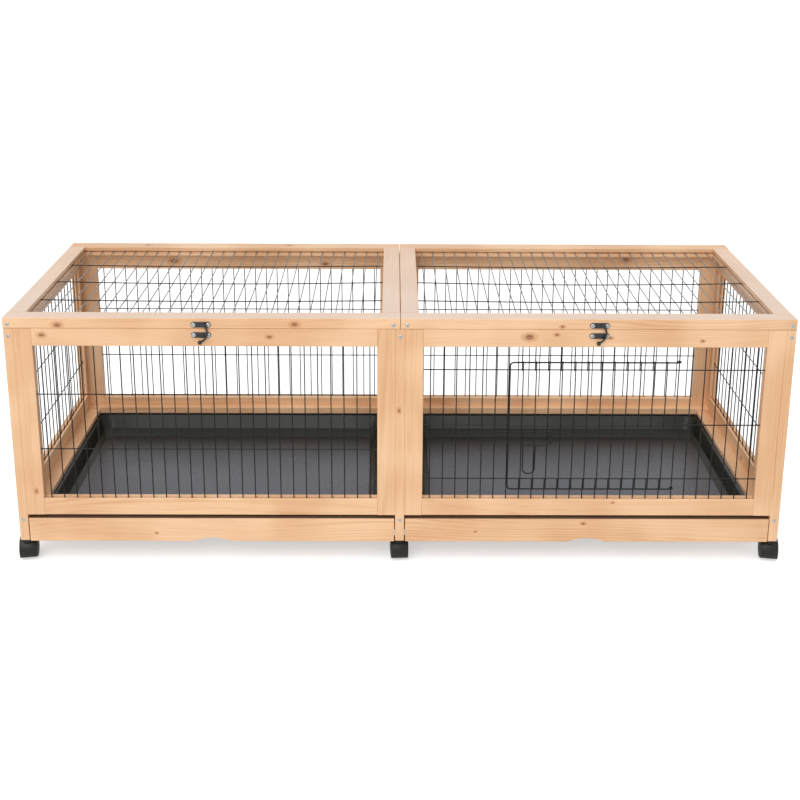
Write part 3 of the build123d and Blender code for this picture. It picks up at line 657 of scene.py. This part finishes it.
# %% The door
HINGE_X, DOOR_LEFT = 533.0, 209.6
DOOR_TOP, DOOR_BOTTOM = 428.0, 163.5
DOOR_WIRE = 3.0
DOOR_D = -0.1
DOOR_UPRIGHT_D = 2.1
DOOR_ROW_D, DOOR_ROW_Z = 0.2, 297.0
LAP = 1.4  # how far an upright passes the middle of the door's frame wire
EYE_D = 4.6
BOLT_D = -3.3
BOLT_Z = (279.5, 286.5)
STRAP_WIRE = 1.8
STRAP_ROOM = 2.3  # from the middle of a rod to the middle of the strap round it
STRAPS = ((DOOR_LEFT, -1.0), (285.0, 1.0))  # x, and the depth of its rear side

outline = [(HINGE_X, DOOR_TOP), (DOOR_LEFT, DOOR_TOP),
           (DOOR_LEFT, DOOR_BOTTOM), (HINGE_X, DOOR_BOTTOM)]
shapes = wires(in_plane(bent_path(outline, 7), DOOR_D), DOOR_WIRE, FRONT_PLANE, 12)
places = 235.0 + PITCH * np.arange(12)
low, high = DOOR_BOTTOM - LAP, DOOR_TOP + LAP
runs = [((x, DOOR_UPRIGHT_D, low), (x, DOOR_UPRIGHT_D, high)) for x in places]
runs.append(((DOOR_LEFT, DOOR_ROW_D, DOOR_ROW_Z), (places[-1] + WIRE / 2, DOOR_ROW_D, DOOR_ROW_Z)))
shapes += wires(straight(runs), WIRE, FRONT_PLANE)
shapes += [round_ring(HINGE_X, EYE_D, z, 3.0, 2.2, DOOR_WIRE) for z in (DOOR_TOP, DOOR_BOTTOM)]
low, high, front = BOLT_Z[0] - STRAP_ROOM, BOLT_Z[1] + STRAP_ROOM, BOLT_D - STRAP_ROOM
middle = (low + high) / 2
for x, back in STRAPS:
    corners = [(back, middle), (back, high), (front, high),
               (front, low), (back, low), (back, middle)]
    loop = bent_path(corners, 1.4, 3)[:-1]
    strap = np.stack([np.full(len(loop), x), loop[:, 0], loop[:, 1]], -1)[None]
    shapes += wires(strap, STRAP_WIRE, SIDE_PLANE, closed=True)
piece("door_of_round_wires", shapes, wire_coat, "door", ["door_wire"])

# %% [markdown]
# The bolt is two rods with a yoke that hangs from them and a long loop below it for a finger.
# Its left end passes the doorway's edge, and the loop pulls it back.

# %% The slide bolt
BOLT_WIRE = 2.6
BOLT_LEFT, BOLT_RIGHT = 183.0, 291.0
YOKE_LEFT, YOKE_Z = 238.0, 258.0
PULL_Z = 198.0

shapes = wires(straight([((BOLT_LEFT, BOLT_D, z), (BOLT_RIGHT, BOLT_D, z)) for z in BOLT_Z]),
               BOLT_WIRE, FRONT_PLANE, 12)
yoke = [(YOKE_LEFT, BOLT_Z[1]), (YOKE_LEFT, YOKE_Z), (BOLT_RIGHT, YOKE_Z), (BOLT_RIGHT, BOLT_Z[1])]
pull = [(YOKE_LEFT, YOKE_Z), (238.6, PULL_Z), (261.4, PULL_Z), (262.0, YOKE_Z)]
for corners, radius, steps in ((yoke, 2.0, 4), (pull, 11.0, 8)):
    path = in_plane(bent_path(corners, radius, steps), BOLT_D)
    shapes += wires(path, BOLT_WIRE, FRONT_PLANE, 12)
piece("slide_bolt", shapes, wire_coat, "bolt", ["door_bolt"])

# %% [markdown]
# ## Trays
# A tray is pressed from one sheet: a turned-down lip, a flat rim, steep walls and a sloping
# foot before the floor. That is one profile carried round a rounded rectangle. Each level of
# the profile is such a rectangle with its own insets, height and corner radius, and the
# profile goes down the inside and comes back up outside it, so the sheet has a thickness.

# %% Pressed trays
SHEET = 2.0
RIM = (31.0, 710.0, 18.0, 490.0)  # x from and to, d from and to
# insets at the sides and front and at the rear, then height and corner radius
INSIDE = [(35.5, 62.0, 72.0, 18.0), (34.0, 60.0, 72.15, 19.0), (32.8, 58.2, 72.8, 19.5),
          (23.0, 33.6, 79.4, 22.0), (22.0, 32.0, 80.1, 22.3), (21.5, 31.0, 81.2, 22.5),
          (10.9, 11.6, 102.2, 24.8), (10.4, 10.8, 103.2, 25.0), (9.6, 9.8, 103.8, 25.4),
          (8.4, 8.4, 104.0, 26.0)]
RIM_EDGE = [(1.8, 1.8, 104.0, 8.0), (0.8, 0.8, 103.7, 7.5), (0.2, 0.2, 103.1, 7.2),
            (0.0, 0.0, 102.2, 7.0), (0.0, 0.0, 94.0, 7.0), (SHEET, SHEET, 94.0, 5.0)]
UNDERSIDE = [(SHEET, SHEET, 102.0, 5.0), (8.2, 8.2, 102.0, 27.0), (8.9, 9.2, 101.2, 27.0),
             (19.8, 29.6, 79.6, 24.0), (21.4, 31.8, 77.8, 24.0), (33.6, 59.6, 70.0, 20.0)]


def rounded_rectangle(x, d, z, radius, steps=8):
    """A loop of four quarter circles at one height, joined by the straight sides."""
    turn = np.linspace(0, math.pi / 2, steps + 1)
    loop = []
    for quarter, (i, j) in enumerate(((1, 1), (0, 1), (0, 0), (1, 0))):
        angle = turn + quarter * math.pi / 2
        centre_x, centre_d = x[i] + radius * (1 - 2 * i), d[j] + radius * (1 - 2 * j)
        loop.append(np.stack([centre_x + radius * np.cos(angle), centre_d + radius * np.sin(angle),
                              np.full(steps + 1, z)], -1))
    return np.concatenate(loop)


for name, side in SIDES.items():
    loops = []
    for inset, rear, z, radius in INSIDE + RIM_EDGE + UNDERSIDE:
        x, d = (RIM[0] + inset, RIM[1] - inset), (RIM[2] + inset, RIM[3] - rear)
        loops.append(rounded_rectangle(x, d, z, radius) * (side, 1, 1))
    piece(f"pressed_tray_{name}", [skin(loops)], tray_sheet, f"drawer_{name}",
          [f"drawer_{name}_tray"], crease=50.0)

# %% [markdown]
# ## Casters
# A twin-wheel caster is a moulded hood with a web down its middle; the wheels run on both
# sides of the web. Hood, web, hub, neck and wheels are all turned shapes: a profile carried
# round an axis, a whole turn for the wheels and part of one for the hood, which covers the
# front and the top and leaves the wheels open at the sides.

# %% Turned shapes
AROUND = 40
TRAIL = 9.0
AXLE_Z = 20.0


def turned(profile, start=0.0, end=360.0, steps=AROUND, ring=False):
    """A profile of (along, radius) about the X axis.

    A whole turn joins rings of growing distance along the profile, with a hole through the
    middle if the profile is a ring. A part turn carries the closed profile from the start to
    the end angle, which are counted from the rear upwards.
    """
    distance, radius = np.array(profile, float).T
    if end - start >= 360.0:
        angle = np.linspace(0, 2 * math.pi, steps, endpoint=False)[None]
        distance, radius = distance[:, None], radius[:, None]
    else:
        angle = np.radians(np.linspace(start, end, steps))[:, None]
    points = [distance + 0 * angle, radius * np.cos(angle), radius * np.sin(angle)]
    return skin(np.stack(points, -1), ring)


def moved(shape, matrix):
    """A skin in its own axes, carried to its place by a matrix."""
    points, faces = shape
    return points @ np.array(matrix.to_3x3()).T + np.array(matrix.translation), faces


def rotation(degrees, axis):
    """The matrix of a turn about an axis."""
    return Matrix.Rotation(math.radians(degrees), 4, axis)


UPRIGHT = rotation(-90, "Y")  # the turning axis points up
TO_FRONT = rotation(-90, "Z")  # it points out of the front
TO_REAR = rotation(90, "Z")
print("a disc:", len(turned([(0, 5), (2, 5)])[1]), "faces")

# %% [markdown]
# A wheel's profile has a rounded tread, a step where the tyre meets the disc, and a hub cap.
# The skins are made once and carried to six places, where they become pieces that ride on
# their own bodies. Each column stands turned by up to ten degrees, as the photo shows.

# %% Hoods, webs and wheels
HOOD = [(-17, 21), (-17, 22.2), (-16.6, 23.0), (-15.7, 23.5),
        (15.7, 23.5), (16.6, 23.0), (17, 22.2), (17, 21)]
HOOD_ARC = (5.0, 212.0)
WEB = [(-4.5, 5.0), (-4.5, 21.6), (4.5, 21.6), (4.5, 5.0)]
HUB = [(-4.5, 3.1), (-4.5, 6.0), (4.5, 6.0), (4.5, 3.1)]
NECK = [(36, 8.0), (40.5, 10.5), (42.2, 10.0), (43.6, 8.8), (45.2, 8.1), (49.2, 8.0), (49.7, 7.5),
        (49.7, 4.0), (79.0, 4.0), (79.7, 3.4)]
WHEEL = [(5, 3.0), (5, 17.6), (5.3, 18.9), (6.2, 19.7), (7.4, 20), (14.8, 20), (16, 19.7),
         (16.8, 18.9), (17.1, 17.8), (17.3, 16.6), (17.1, 16.1), (16.4, 15.8), (16.4, 14.9),
         (17.2, 14.5), (17.8, 13.4), (18.2, 10), (18.3, 6.6), (17.7, 6.2), (17.7, 5.4),
         (18.4, 5.0), (18.5, 4.0)]
AXLE = [(-5.2, 3.0), (5.2, 3.0)]
CASTERS_X = {"left": (-741.0, 10.0), "middle": (0.0, 3.0), "right": (741.0, -10.0)}  # x, turn
CASTERS_D = {"front": 17.5, "rear": 497.5}

pair = [turned(WHEEL), turned([(-a, r) for a, r in WHEEL]), turned(AXLE, steps=20)]
shell = [turned(HOOD, *HOOD_ARC), turned(WEB, *HOOD_ARC), turned(HUB, ring=True)]
neck = turned(NECK, steps=28)
for column, (x, turn) in CASTERS_X.items():
    for row, d in CASTERS_D.items():
        stand = Matrix.Translation((x, d, 0)) @ rotation(turn, "Z")
        axle = stand @ Matrix.Translation((0, TRAIL, AXLE_Z))
        name = f"caster_{column}_{row}"
        hood = [moved(shape, axle) for shape in shell] + [moved(neck, stand @ UPRIGHT)]
        piece(name + "_hood", hood, caster_black, name, [name + "_fork"])
        wheels = [moved(shape, axle) for shape in pair]
        piece(name + "_wheel_pair", wheels, wheel_black, name + "_roller",
              [name + "_wheels"])

# %% [markdown]
# ## Latches
# Each lid has a black plate with a hook that turns on its rivet, and the frame has a keeper
# plate with a low dome. Flat stamped parts are slabs with softened edges: the outline is
# inset a little at both faces, by a quarter circle. Studs, eyes and the knob are turned.

# %% Slabs with soft edges
def slab(outline, back, front, edge):
    """A plate between two depths with its outline (x, z) rounded at both faces.

    Over a quarter turn at each face, a point moves in along the mean normal of its two sides,
    by the edge times one less the cosine, and out to the face by the edge times the sine.
    """
    outline = np.array(outline, float)
    normal = 0
    for way in (outline - np.roll(outline, 1, axis=0), np.roll(outline, -1, axis=0) - outline):
        across = np.stack([way[:, 1], -way[:, 0]], -1)
        normal = normal + across / np.linalg.norm(way, axis=1, keepdims=True)
    normal /= np.linalg.norm(normal, axis=1, keepdims=True)
    ahead = np.roll(outline, -1, axis=0)
    area = np.sum(outline[:, 0] * ahead[:, 1] - outline[:, 1] * ahead[:, 0])
    out = normal * (1 if area > 0 else -1)
    turn = np.radians([90, 60, 30, 0])
    inset, sunk = edge * (1 - np.cos(turn)), edge * (1 - np.sin(turn))
    sunk *= 1 if front > back else -1
    insets = np.concatenate([inset, inset[::-1]])
    depths = np.concatenate([back + sunk, front - sunk[::-1]])
    return skin([in_plane(outline - out * i, d)[0] for i, d in zip(insets, depths)])


def pill(x, z, length, height, steps=12):
    """The outline of a plate with round ends."""
    r = height / 2
    half = length / 2 - r
    turn = np.linspace(-math.pi / 2, math.pi / 2, steps + 1)
    right = np.stack([x + half + r * np.cos(turn), z + r * np.sin(turn)], -1)
    left = np.stack([x - half - r * np.cos(turn), z - r * np.sin(turn)], -1)
    return np.concatenate([right, left])


def stud(x, z, profile, ring=False):
    """A turned shape on the front face; the profile is (out from the face, radius)."""
    return moved(turned(profile, steps=24, ring=ring), Matrix.Translation((x, 0, z)) @ TO_FRONT)


print("a plate:", len(slab(pill(0, 0, 38, 11), 0, -1.5, 0.4)[1]), "faces")

# %% [markdown]
# The hook's arm follows the circle through its rivet, its bend and its knob, and begins two
# steps from the rivet, inside the eye. The hook could be a bent rod too, but the real one is
# stamped from sheet, so it is a slab like the plate.

# %% Plates, keepers and hooks
LATCH_X = 376.6
UPPER_Z, LOWER_Z = 502.5, 482.0
PLATE = 1.5
PIVOT, BEND, TIP = (5.7, 503.0), (12.0, 490.0), (-2.0, 469.0)  # x from the latch's middle, and z
ARM = 1.8  # half the width of the hook's arm
RIVET = [(0.5, 2.4), (6.2, 2.4), (6.25, 3.6), (6.6, 3.5), (7.0, 3.0), (7.25, 2.2), (7.3, 1.0)]
DOME = [(0.5, 3.4), (1.7, 3.2), (2.5, 2.7), (3.1, 1.9), (3.4, 0.8)]
EYE = [(4.0, 4.2), (4.3, 4.6), (5.7, 4.6), (6.0, 4.2), (6.0, 2.6), (4.0, 2.6)]
KNOB = [(4.0, 2.9), (4.6, 3.7), (6.0, 4.0), (8.0, 4.0), (9.2, 3.5), (9.8, 2.5), (10.0, 1.2)]


def arc_through(a, b, c, steps):
    """Points on the circle through a, b and c, from a to c by way of b, and its centre.

    The centre is as far from b and from c as it is from a, which is two equations in x and z.
    """
    a, b, c = (np.array(p, float) for p in (a, b, c))
    centre = np.linalg.solve(2 * np.array([b - a, c - a]), [b @ b - a @ a, c @ c - a @ a])
    radius = np.linalg.norm(a - centre)
    start, end = (math.atan2(*(p - centre)[::-1]) for p in (a, c))
    turn = np.linspace(start, end, steps + 1)
    return centre + radius * np.stack([np.cos(turn), np.sin(turn)], -1), centre


def plate(x, z):
    """A latch plate or a keeper plate."""
    return slab(pill(x, z, 38, 11), 0.0, -PLATE, 0.5)


for name, side in SIDES.items():
    x = side * LATCH_X
    pivot, bend, tip = ((x + out, z) for out, z in (PIVOT, BEND, TIP))
    piece(f"latch_{name}_plate", [plate(x, UPPER_Z), stud(*pivot, RIVET)], latch_black, f"lid_{name}",
          [f"latch_plate_{name}"])
    middle, centre = arc_through(pivot, bend, tip, 20)
    arm = middle[2:]
    out = (arm - centre) / np.linalg.norm(arm - centre, axis=1, keepdims=True)
    outline = np.concatenate([arm + ARM * out, (arm - ARM * out)[::-1]])
    hook = [slab(outline, -4.0, -6.0, 0.45), stud(*pivot, EYE, ring=True), stud(*tip, KNOB)]
    piece(f"latch_{name}_hook", hook, latch_black, f"hook_{name}", [f"latch_hook_{name}"])

keepers = []
for side in SIDES.values():
    keepers += [plate(side * LATCH_X, LOWER_Z), stud(side * LATCH_X + 3.0, LOWER_Z, DOME)]
piece("keeper_plates", keepers, latch_black, "root", ["latch_keepers"])

# %% [markdown]
# ## Screws
# A screw head is a low dome with a cross recess. The surface is a height over a disc: the
# dome falls with the square of the radius, and the recess takes a fixed depth away wherever a
# point is close to one of the two lines of the cross. The heads are each turned by a random
# but seeded amount, because nobody lines them up.

# %% Screw heads
HEAD_RADIUS = 4.0
HEAD_HEIGHT = 1.6
CROSS_WIDTH = 0.55
CROSS_REACH = 2.3
CROSS_DEPTH = 0.9
LATCH_SCREWS = (-14.0, 14.0)
chance = np.random.default_rng(7)


def screw_head(x, d, z, rear=False, radius=HEAD_RADIUS, height=HEAD_HEIGHT):
    """Rings of falling radius: six tenths of the height go with its square, less the cross."""
    rings = np.array([1.0, 1.0, 0.97, 0.85, 0.7, 0.58, 0.5, 0.4, 0.3, 0.2, 0.12, 0.05]) * radius
    angle = np.linspace(0, 2 * math.pi, 32, endpoint=False)
    across = rings[:, None] * np.cos(angle)
    up = rings[:, None] * np.sin(angle)
    tall = height * (1 - 0.6 * (rings / radius) ** 2)[:, None] + 0 * angle
    scale = radius / HEAD_RADIUS
    near_line = np.minimum(np.abs(across), np.abs(up))
    in_reach = np.maximum(np.abs(across), np.abs(up)) < CROSS_REACH * scale
    slope = np.clip((CROSS_WIDTH * scale - near_line) / (0.3 * scale), 0, 1)
    tall -= CROSS_DEPTH * scale * slope * in_reach
    tall[0] = 0.0
    spin = Matrix.Rotation(chance.uniform(0, 2 * math.pi), 4, "X")
    place = Matrix.Translation((x, d, z)) @ (TO_REAR if rear else TO_FRONT) @ spin
    return moved(skin(np.stack([tall, across, up], -1)), place)


def latch_screws(side, z):
    """The two screws of a latch plate or a keeper plate."""
    return [screw_head(side * LATCH_X + offset, -PLATE, z) for offset in LATCH_SCREWS]


frame_heads = [screw_head(x, d, z, rear=d > 0) for x in (-741.0, 0.0, 741.0) for z in (479.0, 95.0)
               for d in (0.0, CAGE_DEPTH)]
for side in SIDES.values():
    frame_heads += latch_screws(side, LOWER_Z)
piece("frame_screw_heads", frame_heads, zinc, "root", ["frame_screws"], crease=30.0)
for name, side in SIDES.items():
    heads = [screw_head(side * x, d, UPPER_Z, rear=d > 0)
             for x in (13.4, 741.0) for d in (0.0, CAGE_DEPTH)]
    heads += latch_screws(side, UPPER_Z)
    piece(f"lid_{name}_screw_heads", heads, zinc, f"lid_{name}", [f"lid_{name}_screws"],
          crease=30.0)

# %% [markdown]
# ## Hinges
# Butt hinges hold the lids at the rear. The frame's leaf has the two outer knuckles and the
# pin, and the lid's leaf has the middle one. Leaves are slabs and knuckles are turned.

# %% Hinge leaves and knuckles
HINGES_X = (150.0, 600.0)
HINGE_Z = 494.3
HALF_LEAF = 25.0
LEAF = 1.2  # thickness
PIN_D = CAGE_DEPTH + 3.5
KNUCKLE = 3.2
THIRD = 2 * HALF_LEAF / 3


def box_outline(left, right, low, high):
    """The four corners (x, z) of a rectangle."""
    return [(left, low), (right, low), (right, high), (left, high)]


def hinge_half(x, thirds, up, pin):
    """One leaf above (up = 1) or below the pin, its knuckles and its two screws."""
    low, high = HINGE_Z + up * 3.5, HINGE_Z + up * 15.5
    leaf = box_outline(x - HALF_LEAF, x + HALF_LEAF, low, high)
    shapes = [slab(leaf, CAGE_DEPTH, CAGE_DEPTH + LEAF, 0.3)]
    for third in thirds:
        middle = x + THIRD * (third - 1)
        half = THIRD / 2 - 0.15
        tab = box_outline(middle - half, middle + half, HINGE_Z + up * 0.4, low + up)
        shapes.append(slab(tab, CAGE_DEPTH, CAGE_DEPTH + LEAF, 0.2))
        roll = [(-half, KNUCKLE - 0.4), (0.4 - half, KNUCKLE),
                (half - 0.4, KNUCKLE), (half, KNUCKLE - 0.4)]
        shapes.append(moved(turned(roll, steps=24), Matrix.Translation((middle, PIN_D, HINGE_Z))))
    if pin:
        rod = [(-25.3, 0.9), (-24.9, 1.5), (24.9, 1.5), (25.3, 0.9)]
        shapes.append(moved(turned(rod, steps=16), Matrix.Translation((x, PIN_D, HINGE_Z))))
    for offset in (-15.0, 15.0):
        z = (low + high) / 2 + up * 1.2
        shapes.append(screw_head(x + offset, CAGE_DEPTH + 1.0, z, True, 2.4, 0.8))
    return shapes


fixed = []
for side in SIDES.values():
    for x in HINGES_X:
        fixed += hinge_half(side * x, (0, 2), -1, True)
piece("hinges_on_the_frame", fixed, hinge_black, "root", ["hinge_fixed_leaves"])
for name, side in SIDES.items():
    leaves = [shape for x in HINGES_X for shape in hinge_half(side * x, (1,), 1, False)]
    piece(f"hinges_on_lid_{name}", leaves, hinge_black, f"lid_{name}",
          [f"hinge_leaves_{name}"])

# %% [markdown]
# ## Floor, light and camera
# The floor and the world are white to the camera and to reflections, and the lamps are plain
# and soft. Part of the floor's whiteness is its own for the camera, so the shadow under the
# cage stays faint, as in a studio shot, but is still there.

# %% The white floor
FLOOR_HALF = 15.0  # metres
FLOOR_GLOW = 0.5
WHITE = (1.0, 1.0, 1.0, 1.0)


def looked_at(tree):
    """One for rays of the camera, of reflections and through glass; zero for light itself."""
    rays = add(tree, "ShaderNodeLightPath").outputs
    seen = maths(tree, "MAXIMUM", rays["Is Camera Ray"], rays["Is Glossy Ray"])
    return maths(tree, "MAXIMUM", seen, rays["Is Transmission Ray"])


floor_mesh = bpy.data.meshes.new("floor")
corners = [(x * FLOOR_HALF, y * FLOOR_HALF, 0) for x, y in ((-1, -1), (1, -1), (1, 1), (-1, 1))]
floor_mesh.from_pydata(corners, [], [(0, 1, 2, 3)])
floor_white, tree, shader, _ = material("floor_white", {
    "Base Color": (0.8, 0.8, 0.8, 1.0), "Roughness": 0.9, "Specular IOR Level": 0.0,
    "Emission Color": WHITE,
})
glow = maths(tree, "MULTIPLY", looked_at(tree), FLOOR_GLOW)
tree.links.new(glow, shader.inputs["Emission Strength"])
floor_mesh.materials.append(floor_white)
show("floor", floor_mesh)
print("floor", 2 * FLOOR_HALF, "m wide")

# %% [markdown]
# The world lights the cage evenly from all sides. A very wide sun from above gives the boards
# their bright tops and the shadow below them, and one large lamp at the front left fills the
# fronts of the boards. Narrow lamps would give hard shadows of every wire on the trays.

# %% The world and the lamps
WORLD_LIGHT = 0.5
world = bpy.data.worlds.new("studio")
scene.world = world
world.use_nodes = True
tree = world.node_tree
tree.nodes.clear()
strength = ramp(tree, looked_at(tree), 0.0, 1.0, WORLD_LIGHT, 1.0)
sky = add(tree, "ShaderNodeBackground", {"Color": WHITE, "Strength": strength})
add(tree, "ShaderNodeOutputWorld", {"Surface": sky.outputs[0]})


def lamp(name, kind, energy, way, place=(0.0, 0.0, 0.0)):
    """A lamp at a place in metres that shines along a way; returns its light data."""
    light = bpy.data.lights.new(name, kind)
    light.energy = energy
    thing = show(name, light)
    thing.location = place
    thing.rotation_euler = Vector(way).to_track_quat("-Z", "Y").to_euler()
    return light


sun = lamp("soft_sun", "SUN", 1.55, (0.25, 0.55, -1.0))
sun.angle = math.radians(50)
sun.specular_factor = 0.1
front_lamp = lamp("from_the_front", "AREA", 34.0, (0.9, 3.6, -1.75), (-0.9, -3.6, 2.0))
front_lamp.shape = "RECTANGLE"
front_lamp.size, front_lamp.size_y = 2.6, 2.0
print("world at", WORLD_LIGHT)

# %% [markdown]
# The camera stands above the cage and looks down by about fifteen degrees, which aims it over
# the cage's top. Its shift, not a steeper tilt, brings the cage to the middle of the picture,
# so the boards keep the slants that the photo shows.

# %% The camera
CAMERA_PLACE = (-0.0141, -2.3677, 1.2631)
PITCH_DOWN, YAW, ROLL = 14.82, -0.33, 0.27
view = bpy.data.cameras.new("camera")
view.sensor_width = 36.0
view.lens = 53.235
view.shift_y = -0.22375
view.dof.use_dof = False
camera = show("camera", view)
turn = rotation(YAW, "Z") @ rotation(90 - PITCH_DOWN, "X") @ rotation(ROLL, "Z")
camera.matrix_world = Matrix.Translation(CAMERA_PLACE) @ turn
scene.camera = camera
scene.view_settings.view_transform = "Standard"
print("lens", view.lens, "mm")
